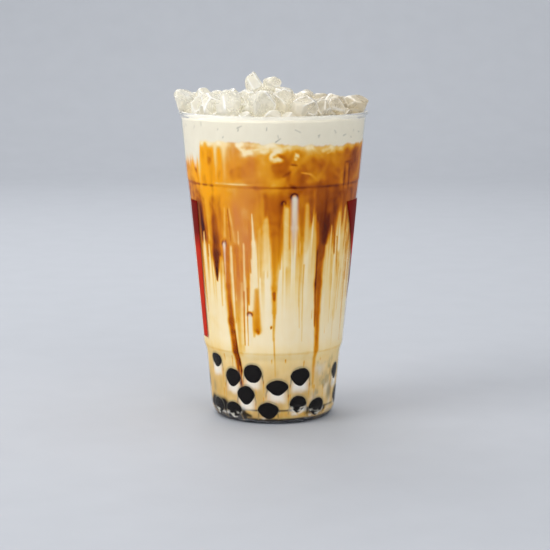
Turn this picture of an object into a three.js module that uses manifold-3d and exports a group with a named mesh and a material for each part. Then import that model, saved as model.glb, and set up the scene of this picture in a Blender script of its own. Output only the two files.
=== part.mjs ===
// Brown sugar bubble tea in a clear take-away cup: milk with tapioca pearls at the bottom,
// a brown sugar tea layer that runs down into it, a milk cap and a heap of crushed ice.
// Millimetres, +Z up, origin at the middle of the cup's foot, front towards -Y.
import * as THREE from "three";
import { mergeVertices } from "three/addons/utils/BufferGeometryUtils.js";
import Module from "manifold-3d";

const wasm = await Module();
wasm.setup();

// Driving dimensions of the cup
const CUP_HEIGHT = 154.5;
const RIM_RADIUS = 47.5;
const LIP_BEAD = 1.1; // radius of the rolled lip
const WALL = 0.7;
const DRAFT = 0.0915; // radius lost for each millimetre down the wall
const SHOULDER = { top: 120.6, foot: 112, inset: 0.45 }; // stacking step under the top band
const LOWER_STEP = { top: 37, foot: 33, inset: 1.0 };
const HEEL_HEIGHT = 7;
const FOOT = { outer: 28.6, inner: 26.4 }; // flat ring that the cup stands on
const PUSH_UP = { height: 3.2, radius: 24.6 }; // raised middle of the base
const SEGMENTS = 48;
const GAP = 0.3; // clearance between pieces that touch

// Driving dimensions of the drink
const DRINK_LEVEL = 152.2;
const CAP_BOTTOM = 140; // middle height of the milk cap's underside
const TEA_BOTTOM = 113; // middle height of the tea layer's underside
const BLEND_RADII = { from: 28, to: 41 }; // the layers' waves grow between these radii
const DRIPS = { count: 12, shortest: 5, longest: 30, width: 6.5 }; // of the tea layer, width in degrees
const CAP_DIP = { angle: -74, width: 13, depth: 9 }; // the cap hangs lower on one side
const CAP_WAVE = 1.3;

// Driving dimensions of the pearls
const PEARL_RADIUS = 5.2;
const PEARL_CORNERS = 1.09; // a faceted pearl's corners stand out by this
const PEARL_PRESS = 1.4; // how far a pearl is flattened by the wall
const PEARL_CORE = { bottomRadius: 25.5, topRadius: 27, top: 30, crown: 33, sides: 16 };
const FRONT_PEARLS = [
  // angle from the front in degrees, height of the middle
  [-58, 30.5], [-38, 23.5], [-18, 26.5], [-25, 15], [3.5, 19.5], [24.5, 24.5],
  [23, 10.5], [-4.5, 8], [43.5, 8.5], [-61, 7.5], [-39, 7.5], [80, 11], [70, 24],
];
const BACK_PEARLS = { from: 108, to: 282, columns: 5, rows: [8, 18.5, 28] };

// Driving dimensions of the ice
const FRONT_ICE = [
  // x, y, height of the middle, width, height
  [-44.3, -4, 159.8, 10.4, 10.8], [-35.5, 8, 161, 8, 8.5], [-36.8, -18, 158.8, 7.5, 8],
  [-29.5, -26, 159.9, 11.4, 9.8], [-21.7, -33, 160.6, 12.2, 12], [-12.7, -24, 161.8, 9, 9],
  [-9.4, -5, 168.6, 9.4, 10.2], [-0.5, -2, 167.2, 9.4, 8], [-5.4, -36, 160.4, 14.2, 11.8],
  [5.4, -30, 161.8, 10.8, 10.8], [15.3, -17, 162, 10.5, 7.6], [15.2, -35, 159.4, 15, 9],
  [23.4, -33, 158.4, 9.5, 7], [30.5, -26, 158.2, 9.5, 7], [29, -12, 159.8, 12.5, 7.5],
  [40.8, -6, 158.4, 13, 8],
];
const ICE_RINGS = [
  { radius: 41.5, from: 106, to: 254, count: 9, height: 156.6, size: 11 },
  { radius: 28.5, from: 68, to: 292, count: 8, height: 157.4, size: 12.4 },
  { radius: 15.5, from: 20, to: 340, count: 5, height: 159, size: 12.6 },
  { radius: 5.5, from: 60, to: 240, count: 2, height: 162, size: 11.5 },
];
const ICE_CORE = { bottom: 147.5, waist: 43.6, shoulder: 156.2, top: 160, sides: 24 };
const ICE_SPREAD = { place: 1.3, lift: 0.9, size: 0.2, crag: 0.13 }; // unevenness
const ICE_LUMP = 0.9;
const ICE_LEAN = 0.03; // the heap falls towards +X by this much for each millimetre

const radians = THREE.MathUtils.degToRad;

// A repeatable number from 0 to 1 for each n.
function scatter(n) {
  const s = Math.sin(n * 127.1 + 311.7) * 43758.5453;
  return s - Math.floor(s);
}

const spread = (n, amount) => (2 * scatter(n) - 1) * amount;

// Solids

function solidOf(geometry) {
  const bare = geometry.clone();
  bare.deleteAttribute("normal");
  bare.deleteAttribute("uv");
  const merged = mergeVertices(bare, 1e-3);
  return new wasm.Manifold(
    new wasm.Mesh({
      numProp: 3,
      vertProperties: merged.attributes.position.array,
      triVerts: new Uint32Array(merged.index.array),
    }),
  );
}

function geometryOf(solid) {
  const mesh = solid.getMesh();
  const geometry = new THREE.BufferGeometry();
  geometry.setAttribute("position", new THREE.BufferAttribute(mesh.vertProperties, 3));
  geometry.setIndex(new THREE.BufferAttribute(mesh.triVerts, 1));
  geometry.computeVertexNormals();
  return geometry;
}

// Moves each corner of a shape by a rule that takes and changes a vector.
function reshape(geometry, rule) {
  const position = geometry.attributes.position;
  const corner = new THREE.Vector3();
  for (let i = 0; i < position.count; i++) {
    corner.fromBufferAttribute(position, i);
    rule(corner, i);
    position.setXYZ(i, corner.x, corner.y, corner.z);
  }
  return geometry;
}

const joined = (solids) => solids.reduce((sum, next) => sum.add(next));

function largestBody(solid) {
  return solid.decompose().reduce((best, next) => (next.volume() > best.volume() ? next : best));
}

// A profile of [radius, height] pairs turned about Z. Angle 0 faces the front.
function turned(profile, segments = SEGMENTS) {
  const points = profile.map(([radius, height]) => new THREE.Vector2(radius, height));
  return new THREE.LatheGeometry(points, segments).rotateX(Math.PI / 2);
}

// The cup's wall

const lipMiddle = { radius: RIM_RADIUS - LIP_BEAD, height: CUP_HEIGHT - LIP_BEAD };
const lipFoot = lipMiddle.height - LIP_BEAD;

// Outer radius of the wall at the top of each band, worked down from the lip.
const bandTop = lipMiddle.radius + 0.1;
const shoulderTop = bandTop - DRAFT * (lipFoot - SHOULDER.top);
const shoulderFoot = shoulderTop - DRAFT * (SHOULDER.top - SHOULDER.foot) - SHOULDER.inset;
const stepTop = shoulderFoot - DRAFT * (SHOULDER.foot - LOWER_STEP.top);
const stepFoot = stepTop - DRAFT * (LOWER_STEP.top - LOWER_STEP.foot) - LOWER_STEP.inset;
const heelTop = stepFoot - DRAFT * (LOWER_STEP.foot - HEEL_HEIGHT);

const wallLine = [
  [heelTop, HEEL_HEIGHT],
  [stepFoot, LOWER_STEP.foot],
  [stepTop, LOWER_STEP.top],
  [shoulderFoot, SHOULDER.foot],
  [shoulderTop, SHOULDER.top],
  [bandTop, lipFoot],
];

function wallRadius(height) {
  const above = wallLine.findIndex(([, z]) => z >= height);
  if (above <= 0) return above === 0 ? heelTop : bandTop;
  const [[r0, z0], [r1, z1]] = [wallLine[above - 1], wallLine[above]];
  return r0 + ((r1 - r0) * (height - z0)) / (z1 - z0);
}

// The rounded heel, taken in by a wall's thickness for the inside.
function heelLine(inset) {
  const curve = new THREE.QuadraticBezierCurve(
    new THREE.Vector2(FOOT.outer - inset / 2, inset),
    new THREE.Vector2(heelTop - 0.6 - inset, 2.4 + inset),
    new THREE.Vector2(heelTop - inset, HEEL_HEIGHT),
  );
  return curve.getPoints(3).map(({ x, y }) => [x, y]);
}

// From the middle of the floor out and up to the given height, inset from the outer face.
function insideLine(inset, top) {
  const floor = PUSH_UP.height + inset;
  const wall = wallLine.slice(1).filter(([, z]) => z < top);
  return [
    [0, floor],
    [PUSH_UP.radius - inset / 2, floor],
    [FOOT.inner, inset],
    ...heelLine(inset),
    ...wall.map(([r, z]) => [r - inset, z]),
    [wallRadius(top) - inset, top],
  ];
}

function cup() {
  const bead = [-90, -45, 0, 45, 90, 145].map((degrees) => [
    lipMiddle.radius + LIP_BEAD * Math.cos(radians(degrees)),
    lipMiddle.height + LIP_BEAD * Math.sin(radians(degrees)),
  ]);
  const outside = [
    [0, PUSH_UP.height],
    [PUSH_UP.radius, PUSH_UP.height],
    [FOOT.inner, 0],
    ...heelLine(0),
    ...wallLine.slice(1, -1),
  ];
  const inside = insideLine(WALL, lipFoot).reverse();
  return solidOf(turned([...outside, ...bead, ...inside]));
}

// The drink

// What fills the cup up to a height, a small gap clear of the wall.
function filling(top) {
  return solidOf(turned([...insideLine(WALL + GAP, top), [0, top]]));
}

const dripAngles = Array.from({ length: DRIPS.count }, (_, i) => ({
  angle: (360 / DRIPS.count) * (i + 0.5 + spread(i, 0.3)) - 180,
  length: THREE.MathUtils.lerp(DRIPS.shortest, DRIPS.longest, scatter(i + 40)),
}));

// 1 at the angle itself and falling to 0 about a width away, in degrees.
function bump(angle, middle, width) {
  const away = THREE.MathUtils.euclideanModulo(angle - middle + 180, 360) - 180;
  return Math.exp(-((away / width) ** 2));
}

function capUnderside(angle) {
  const wave = CAP_WAVE * Math.sin(radians(3 * angle + 40)) + CAP_WAVE * Math.sin(radians(5 * angle));
  return wave - CAP_DIP.depth * bump(angle, CAP_DIP.angle, CAP_DIP.width);
}

function teaUnderside(angle) {
  return dripAngles.reduce((sum, drip) => sum - drip.length * bump(angle, drip.angle, DRIPS.width), 4);
}

// Everything above a wavy surface that is flat in the middle and follows wave(angle) at the wall.
function above(height, wave) {
  const reach = RIM_RADIUS + 10;
  const ceiling = CUP_HEIGHT + 40;
  const geometry = turned([
    [0, 0],
    [BLEND_RADII.from, 0],
    [BLEND_RADII.to, 0],
    [reach, 0],
    [reach, ceiling],
    [0, ceiling],
  ]);
  return solidOf(
    reshape(geometry, (corner) => {
      if (corner.z > 1) return;
      const grown = Math.hypot(corner.x, corner.y) > BLEND_RADII.from + 1 ? 1 : 0;
      const angle = THREE.MathUtils.radToDeg(Math.atan2(corner.x, -corner.y));
      corner.z = height + grown * wave(angle);
    }),
  );
}

// The pearls

function pearlPlaces() {
  const { from, to, columns, rows } = BACK_PEARLS;
  const places = [...FRONT_PEARLS];
  rows.forEach((height, row) => {
    for (let i = 0; i < columns; i++) {
      const n = row * columns + i;
      if (row === 2 && i % 2 === 0) continue; // the top row is thinner
      const angle = from + ((to - from) * (i + 0.5 * (row % 2) + spread(n + 70, 0.2))) / columns;
      places.push([angle, height + spread(n + 90, 1.4)]);
    }
  });
  return places;
}

// The drink's radius at a height, down into the heel.
const heelInside = heelLine(WALL + GAP);

function insideRadius(height) {
  if (height >= HEEL_HEIGHT) return wallRadius(height) - WALL - GAP;
  const above = heelInside.findIndex(([, z]) => z > height);
  if (above <= 0) return heelInside[0][0];
  const [[r0, z0], [r1, z1]] = [heelInside[above - 1], heelInside[above]];
  return r0 + ((r1 - r0) * (height - z0)) / (z1 - z0);
}

// Pressed flat where the wall or the floor is in the way.
function pressIn(corner) {
  const floor = PUSH_UP.height + WALL + 3 * GAP;
  const lowest = Math.hypot(corner.x, corner.y) < FOOT.inner ? floor : WALL + 2 * GAP;
  corner.z = Math.max(corner.z, lowest);
  const reach = Math.hypot(corner.x, corner.y);
  const limit = insideRadius(corner.z) - 0.1;
  if (reach > limit) corner.multiply(new THREE.Vector3(limit / reach, limit / reach, 1));
}

function pearl([degrees, height], i, grow) {
  const out = wallRadius(height) - WALL - PEARL_RADIUS + PEARL_PRESS;
  return new THREE.DodecahedronGeometry(PEARL_CORNERS * PEARL_RADIUS + 1.2 * grow, 0)
    .rotateZ(scatter(i) * Math.PI)
    .rotateX(scatter(i + 20) * Math.PI)
    .translate(out * Math.sin(radians(degrees)), -out * Math.cos(radians(degrees)), height);
}

function pearlCore(grow) {
  const floor = PUSH_UP.height + WALL + GAP - 2 * grow;
  const profile = [
    [0, floor],
    [PUSH_UP.radius - 1 + grow, floor],
    [PEARL_CORE.bottomRadius + grow, floor + 2 * grow + 2],
    [PEARL_CORE.topRadius + grow, PEARL_CORE.top],
    [PEARL_CORE.topRadius - 6 + grow, PEARL_CORE.crown + grow],
    [0, PEARL_CORE.crown + grow],
  ];
  return solidOf(turned(profile, PEARL_CORE.sides));
}

// Pearls around a plain core, each flattened where it meets the wall.
function pearlHeap() {
  const pearls = pearlPlaces().map((where, i) => solidOf(reshape(pearl(where, i, 0), pressIn)));
  return joined([pearlCore(0), ...pearls]);
}

// The room that the heap takes up in the milk, open to the wall.
function pearlRoom() {
  const pearls = pearlPlaces().map((where, i) => solidOf(pearl(where, i, GAP)));
  return joined([pearlCore(GAP), ...pearls]);
}

// The ice

// A craggy lump of the given width and height.
function icePiece(seed, [x, y, height, width, tall]) {
  const bare = new THREE.DodecahedronGeometry(1, 0);
  bare.deleteAttribute("normal");
  bare.deleteAttribute("uv");
  const crag = (corner, i) => corner.multiplyScalar(1 + spread(seed * 31 + i, ICE_SPREAD.crag));
  const piece = reshape(mergeVertices(bare, 1e-3), crag)
    .rotateX(scatter(seed + 0.3) * Math.PI)
    .rotateZ(scatter(seed + 0.6) * Math.PI)
    .center();
  const size = new THREE.Box3().setFromBufferAttribute(piece.attributes.position).getSize(new THREE.Vector3());
  const deep = width * (1 + spread(seed + 0.9, ICE_SPREAD.size));
  piece.scale(width / size.x, deep / size.y, tall / size.z).translate(x, y, height);
  return solidOf(piece);
}

function icePlaces() {
  const places = [...FRONT_ICE];
  ICE_RINGS.forEach(({ radius, from, to, count, height, size }, r) => {
    for (let i = 0; i < count; i++) {
      const n = r * 50 + i;
      const angle = radians(from + ((to - from) * (i + spread(n, 0.2))) / (count - 1));
      const out = radius + spread(n + 11, ICE_SPREAD.place);
      const middle = height + spread(n + 23, ICE_SPREAD.lift) - ICE_LEAN * out * Math.sin(angle);
      const width = size * (1 + spread(n + 37, ICE_SPREAD.size));
      const tall = size * (0.82 + spread(n + 53, ICE_SPREAD.size / 2));
      places.push([out * Math.sin(angle), -out * Math.cos(angle), middle, width, tall]);
    }
  });
  return places;
}

function iceCore(grow) {
  const waist = ICE_CORE.waist + grow;
  const profile = [
    [0, ICE_CORE.bottom - grow],
    [waist - 6, ICE_CORE.bottom - grow],
    [waist, DRINK_LEVEL],
    [waist, ICE_CORE.shoulder],
    [waist * 0.8, ICE_CORE.top - 2],
    [waist * 0.45, ICE_CORE.top],
    [0, ICE_CORE.top],
  ];
  const lumps = (corner) => {
    const reach = Math.hypot(corner.x, corner.y);
    const angle = Math.atan2(corner.x, -corner.y);
    if (corner.z < ICE_CORE.shoulder + 1 || reach < 1) return;
    corner.z += ICE_LUMP * Math.sin(5 * angle + reach) + ICE_LUMP * Math.cos(8 * angle - reach);
  };
  return solidOf(reshape(turned(profile, ICE_CORE.sides), lumps));
}

// The ice stays above the drink, inside the wall and on top of the lip.
function iceHeap() {
  const low = DRINK_LEVEL - 30;
  const inside = wallRadius(lipFoot) - WALL - 2 * GAP;
  const clear = solidOf(
    turned([
      [0, low],
      [RIM_RADIUS + 20, low],
      [RIM_RADIUS + 20, CUP_HEIGHT + GAP],
      [inside, CUP_HEIGHT + GAP],
      [inside, DRINK_LEVEL + GAP],
      [0, DRINK_LEVEL + GAP],
    ]),
  );
  const pieces = joined(icePlaces().map((where, i) => icePiece(i, where)));
  return largestBody(iceCore(0).add(pieces.subtract(clear)));
}

// The finished group

function finish(color, roughness, opacity = 1) {
  return new THREE.MeshStandardMaterial({
    color,
    roughness,
    metalness: 0,
    transparent: opacity < 1,
    opacity,
  });
}

const bubbleTea = new THREE.Group();
bubbleTea.name = "bubble_tea";

function place(name, solid, material) {
  const mesh = new THREE.Mesh(geometryOf(solid), material);
  mesh.name = name;
  bubbleTea.add(mesh);
}

const overTea = above(CAP_BOTTOM, capUnderside);
const overTeaGap = above(CAP_BOTTOM - GAP, capUnderside);
const overMilk = above(TEA_BOTTOM, teaUnderside);
const overMilkGap = above(TEA_BOTTOM - GAP, teaUnderside);
const drink = filling(DRINK_LEVEL);

place("cup", cup(), finish(0xf2f5f6, 0.08, 0.3));
place("pearls", pearlHeap(), finish(0x17110f, 0.25));
place("milk", largestBody(drink.subtract(overMilkGap).subtract(pearlRoom())), finish(0xf3dcae, 0.45));
place("brown_sugar_tea", drink.intersect(overMilk).subtract(overTeaGap), finish(0xc9781c, 0.4));
place("milk_cap", drink.intersect(overTea).subtract(iceCore(GAP)), finish(0xf2ead8, 0.45));
place("ice", iceHeap(), finish(0xece9dc, 0.2, 0.85));

export default bubbleTea;
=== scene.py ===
# Brown sugar bubble tea in a clear cup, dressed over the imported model
import bpy
import bmesh
import math
import random
import numpy as np
from mathutils import Matrix, Vector, noise


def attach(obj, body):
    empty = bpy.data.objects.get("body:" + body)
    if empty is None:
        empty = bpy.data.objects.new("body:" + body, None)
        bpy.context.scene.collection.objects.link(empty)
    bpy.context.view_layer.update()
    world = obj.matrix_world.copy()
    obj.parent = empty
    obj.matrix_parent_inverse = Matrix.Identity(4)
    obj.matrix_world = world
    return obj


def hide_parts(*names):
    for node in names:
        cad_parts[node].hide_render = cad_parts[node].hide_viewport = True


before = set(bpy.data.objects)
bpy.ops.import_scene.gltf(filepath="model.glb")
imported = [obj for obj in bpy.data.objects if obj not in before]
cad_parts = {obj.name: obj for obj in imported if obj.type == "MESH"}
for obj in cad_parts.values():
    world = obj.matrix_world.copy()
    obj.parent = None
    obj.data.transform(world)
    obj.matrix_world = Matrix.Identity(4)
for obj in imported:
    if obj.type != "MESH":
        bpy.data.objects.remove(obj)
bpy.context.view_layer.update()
scene = bpy.context.scene
mm = 0.001


# A seeded number from 0 to 1
def scatter(n):
    s = np.sin(n * 127.1 + 311.7) * 43758.5453
    return s - np.floor(s)


def spread(n, amount):
    return (2 * scatter(n) - 1) * amount


def linear(*rgb):
    shares = [v / 255 for v in rgb]
    return (*[s / 12.92 if s <= 0.04045 else ((s + 0.055) / 1.055) ** 2.4 for s in shares], 1.0)


def ease(lo, hi, x):
    t = np.clip((x - lo) / (hi - lo), 0, 1)
    return t * t * (3 - 2 * t)


def ridge(x, middle, width):
    return np.exp(-((x - middle) / width) ** 2)


def toward(values, goal, share):
    return values + (goal - values) * share


def onCircle(out, a):
    return out * math.sin(a), -out * math.cos(a)


def pullIn(co, limit):
    reach = math.hypot(co.x, co.y)
    if reach > limit:
        co.x *= limit / reach
        co.y *= limit / reach


# Mesh and material helpers

def spinProfile(points, steps):
    bm = bmesh.new()
    verts = [bm.verts.new((0, r, z)) for r, z in points]
    edges = [bm.edges.new(pair) for pair in zip(verts, verts[1:])]
    bmesh.ops.spin(bm, geom=verts + edges, cent=(0, 0, 0), axis=(0, 0, 1),
                   angle=math.tau, steps=steps, use_merge=True)
    bmesh.ops.remove_doubles(bm, verts=bm.verts, dist=1e-6)
    bmesh.ops.dissolve_degenerate(bm, edges=bm.edges, dist=1e-7)
    bmesh.ops.recalc_face_normals(bm, faces=bm.faces)
    return bm


def meshFrom(name, bm):
    mesh = bpy.data.meshes.new(name)
    bm.to_mesh(mesh)
    bm.free()
    return mesh


def objectFrom(name, bm, material):
    mesh = meshFrom(name, bm)
    mesh.polygons.foreach_set("use_smooth", [True] * len(mesh.polygons))
    mesh.materials.append(material)
    made = bpy.data.objects.new(name, mesh)
    scene.collection.objects.link(made)
    return made


def joinInto(bm, other):
    mesh = meshFrom("joined", other)
    bm.from_mesh(mesh)
    bpy.data.meshes.remove(mesh)


def addPiece(name, bm, material, nodes=()):
    bmesh.ops.recalc_face_normals(bm, faces=bm.faces)
    piece = objectFrom(name, bm, material)
    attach(piece, "root")
    if nodes:
        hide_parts(*nodes)
    print("piece", name, len(piece.data.polygons), "faces")
    return piece


def setAttribute(mesh, name, values):
    attribute = mesh.attributes.get(name) or mesh.attributes.new(name, "FLOAT", "POINT")
    attribute.data.foreach_set("value", np.asarray(values, dtype=np.float32))


def startMaterial(name):
    material = bpy.data.materials.new(name)
    material.use_nodes = True
    tree = material.node_tree
    tree.nodes.clear()
    return material, tree


def addNode(tree, kind, inputs=None, **settings):
    made = tree.nodes.new("ShaderNode" + kind)
    for key, value in settings.items():
        setattr(made, key, value)
    for key, value in (inputs or {}).items():
        if isinstance(value, bpy.types.NodeSocket):
            tree.links.new(value, made.inputs[key])
        else:
            made.inputs[key].default_value = value
    return made


def calc(tree, operation, a, b, clamp=False):
    return addNode(tree, "Math", {0: a, 1: b}, operation=operation, use_clamp=clamp).outputs[0]


def blendColor(tree, factor, a, b):
    return addNode(tree, "Mix", {0: factor, 6: a, 7: b}, data_type="RGBA").outputs[2]


def objectNoise(tree, scale, stretch=(1, 1, 1), detail=3.0, distortion=0.0):
    coords = addNode(tree, "TexCoord").outputs["Object"]
    placed = addNode(tree, "Mapping", {"Vector": coords, "Scale": stretch}).outputs[0]
    return addNode(tree, "TexNoise", {"Vector": placed, "Scale": scale, "Detail": detail,
                                      "Distortion": distortion}).outputs["Fac"]


def mapped(tree, value, low, high, start=0.0, stop=1.0):
    return addNode(tree, "MapRange", {"Value": value, "From Min": low, "From Max": high,
                                      "To Min": start, "To Max": stop}).outputs[0]


def alongAxis(tree, axis):
    coords = addNode(tree, "TexCoord").outputs["Object"]
    return addNode(tree, "SeparateXYZ", {0: coords}).outputs[axis]


def attributeValue(tree, name):
    return addNode(tree, "Attribute", attribute_name=name).outputs["Fac"]


def colorRamp(tree, factor, stops):
    ramp = addNode(tree, "ValToRGB", {"Fac": factor})
    line = ramp.color_ramp
    while len(line.elements) < len(stops):
        line.elements.new(0.5)
    for element, (place, color) in zip(line.elements, stops):
        element.position = place
        element.color = linear(*color)
    return ramp.outputs["Color"]


def surface(tree, inputs):
    return addNode(tree, "BsdfPrincipled", inputs).outputs[0]


def clearForShadows(tree, body, tint, openShare=0.0):
    through = addNode(tree, "BsdfTransparent", {"Color": tint}).outputs[0]
    shadow = addNode(tree, "LightPath").outputs["Is Shadow Ray"]
    share = calc(tree, "MAXIMUM", shadow, openShare)
    return addNode(tree, "MixShader", {0: share, 1: body, 2: through}).outputs[0]


def closeMaterial(tree, shader):
    addNode(tree, "OutputMaterial", {"Surface": shader})


# Cup
cup = {
    "height": 154.5, "rim": 47.5, "bead": 1.1, "wall": 0.7, "draft": 0.0915, "bandOut": 0.1,
    "shoulderTop": 120.6, "shoulderFoot": 112.0, "shoulderIn": 0.45,
    "stepTop": 37.0, "stepFoot": 33.0, "stepIn": 1.0, "ledge": 0.26,
    "heel": 7.0, "heelPull": (0.6, 2.4), "heelSteps": 10, "footOuter": 28.6, "footInner": 26.4,
    "pushUp": 3.2, "pushUpRadius": 24.6, "groove": (9, 9.4, 10, 10.4), "grooveDepth": 0.25,
    "rows": [(11, 32, 3.5), (44, 110, 6.5), (125, 152, 4.5)], "steps": 224,
    "thinness": 0.7, "lipThinness": 0.1, "thinHeights": (0.15, 0.152),
    # the lip is partly white, a painted highlight along the rim
    "lipHighlightTransmission": 0.82, "lipHighlightHeights": (0.1526, 0.1532),
}
beadRadius = cup["rim"] - cup["bead"]
beadHeight = cup["height"] - cup["bead"]
lipFoot = beadHeight - cup["bead"]
bandTop = beadRadius + cup["bandOut"]


def drafted(radius, top, foot):
    return radius - cup["draft"] * (top - foot)


shoulderTop = drafted(bandTop, lipFoot, cup["shoulderTop"])
shoulderFoot = drafted(shoulderTop, cup["shoulderTop"], cup["shoulderFoot"]) - cup["shoulderIn"]
stepTop = drafted(shoulderFoot, cup["shoulderFoot"], cup["stepTop"])
stepFoot = drafted(stepTop, cup["stepTop"], cup["stepFoot"]) - cup["stepIn"]
heelTop = drafted(stepFoot, cup["stepFoot"], cup["heel"])


def heelCurve():
    inward, upward = cup["heelPull"]
    a = Vector((cup["footOuter"], 0.0))
    b = Vector((heelTop - inward, upward))
    c = Vector((heelTop, cup["heel"]))
    line = []
    for i in range(cup["heelSteps"] + 1):
        t = i / cup["heelSteps"]
        p = a * (1 - t) ** 2 + b * 2 * t * (1 - t) + c * t * t
        line.append((p.x, p.y))
    return line


def ledgeLine(radius, height):
    return [(radius - cup["ledge"], height - 0.55), (radius - 0.03, height), (radius + 0.06, height + 0.6)]


# Outer face from the foot to the lip, with a small ledge under each step's edge
heelLine = heelCurve()
stepLine = [(stepFoot - 0.04, cup["stepFoot"] - 0.5), (stepFoot + 0.08, cup["stepFoot"] + 0.3)]
stepLine += ledgeLine(stepTop, cup["stepTop"])
shoulderLine = [(shoulderFoot, cup["shoulderFoot"]), (shoulderFoot + 0.13, cup["shoulderFoot"] + 1.0)]
shoulderLine += ledgeLine(shoulderTop, cup["shoulderTop"])
lineRadii, lineHeights = zip(*heelLine, *stepLine, *shoulderLine, (bandTop, lipFoot))


def outerRadius(z):
    return np.interp(z, lineHeights, lineRadii)


def innerRadius(z):
    return outerRadius(z) - cup["wall"]


def floorHeight(radius):
    return np.interp(radius, [cup["pushUpRadius"] - 0.35, cup["footInner"]],
                     [cup["pushUp"] + cup["wall"], cup["wall"]])


def cupProfile():
    up = cup["pushUp"]
    deep = up - cup["grooveDepth"]
    under = [(0, up), *zip(cup["groove"], (up, deep, deep, up)),
             (cup["pushUpRadius"] - 0.5, up), (cup["pushUpRadius"] + 0.1, up - 0.35),
             (cup["footInner"] - 0.15, 0.2), (cup["footInner"] + 0.2, 0)]
    lower, middle, upper = [list(np.arange(*row)) for row in cup["rows"]]
    rows = lower + [z for r, z in stepLine] + middle + [z for r, z in shoulderLine] + upper
    outside = [(cup["footOuter"] - 0.35, 0)] + heelLine[1:]
    outside += [(float(outerRadius(z)), float(z)) for z in rows]
    bead = [(beadRadius + cup["bead"] * math.cos(math.radians(d)),
             beadHeight + cup["bead"] * math.sin(math.radians(d))) for d in range(-88, 200, 16)]
    inside = [(float(innerRadius(z)), float(z)) for z in reversed(rows)]
    inside += [(r - cup["wall"] * (0.55 + 0.45 * z / cup["heel"]),
                max(z, cup["wall"] * (1 - z / (2 * cup["heel"])))) for r, z in reversed(heelLine)]
    floor = up + cup["wall"]
    inside += [(cup["footInner"] + 0.3, cup["wall"]), (cup["footInner"] - 0.3, cup["wall"] + 0.3),
               (cup["pushUpRadius"] - 0.2, floor - 0.4), (cup["pushUpRadius"] - 0.9, floor), (0, floor)]
    return [(r * mm, z * mm) for r, z in under + outside + bead + inside]


def clearPlastic():
    material, tree = startMaterial("clearPlastic")
    waves = objectNoise(tree, 45.0, (1, 1, 0.35), 2.0)
    bump = addNode(tree, "Bump", {"Height": waves, "Strength": 0.05, "Distance": 0.002}).outputs[0]
    height = alongAxis(tree, 2)
    thin = mapped(tree, height, *cup["thinHeights"], cup["thinness"], cup["lipThinness"])
    # painted highlight: the lip is less clear, so its white shows as a bright line along the rim
    lipHighlightTransmission = mapped(tree, height, *cup["lipHighlightHeights"], 1.0, cup["lipHighlightTransmission"])
    body = surface(tree, {
        "Base Color": (0.985, 0.99, 0.992, 1), "Roughness": 0.03, "IOR": 1.38,
        "Transmission Weight": lipHighlightTransmission, "Normal": bump})
    closeMaterial(tree, clearForShadows(tree, body, (0.97, 0.975, 0.98, 1), thin))
    return material


cupShape = spinProfile(cupProfile(), cup["steps"])
addPiece("cupShell", cupShape, clearPlastic(), ["cup"])

# Pearls: angle from the front, height, width and tallness of the face that shows
pearls = {
    "radius": 5.4, "fineness": 4, "press": 3.0, "proud": 0.22, "hoof": 0.5, "lump": 0.08,
    "front": [
        (-58, 31, 0.96, 0.76), (-38, 23.5, 0.98, 1.02), (-18, 26.5, 1.02, 1),
        (-25, 15, 0.98, 1.05), (3.5, 19.5, 1.12, 0.86), (24.5, 24.5, 1.06, 1),
        (23, 10.5, 0.98, 0.92), (-4.5, 7.6, 1.06, 0.92), (43.5, 8.2, 1.02, 0.92),
        (-61, 7, 1, 0.9), (-39, 6.8, 1, 0.88), (80, 11, 1, 1),
        (70, 24, 0.8, 0.9),
    ],
    "from": 108, "to": 282, "columns": 5, "rows": [8, 18.5, 28], "shift": 1.4, "uneven": 0.08,
    # painted glints on the low pearls: strength, height below which, and how far from the front
    "pearlGlint": 0.9, "pearlGlintBelow": 11, "pearlGlintAside": 0.94, "sideLine": 4.6, "ring": 5.0,
    "core": [(0, 4), (23, 4), (25, 6), (26.2, 29), (20, 32.5), (0, 32.5)], "coreSteps": 48,
}


def pearlPlaces():
    places = list(pearls["front"])
    span = pearls["to"] - pearls["from"]
    for row, height in enumerate(pearls["rows"]):
        for i in range(pearls["columns"]):
            n = row * pearls["columns"] + i
            if row == 2 and i % 2 == 0:  # the top row is thinner
                continue
            along = i + 0.5 * (row % 2) + spread(n + 70, 0.2)
            angle = pearls["from"] + span * along / pearls["columns"]
            wide = 1 + spread(n, pearls["uneven"])
            tall = 1 + spread(n + 5, pearls["uneven"])
            places.append((angle, height + spread(n + 90, pearls["shift"]), wide, tall))
    return places


pearlSpots = pearlPlaces()


def pressIn(co):
    co.z = max(co.z, float(floorHeight(math.hypot(co.x, co.y))) - 0.15)
    pullIn(co, float(innerRadius(max(co.z, 0.9))) + pearls["proud"])


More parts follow.
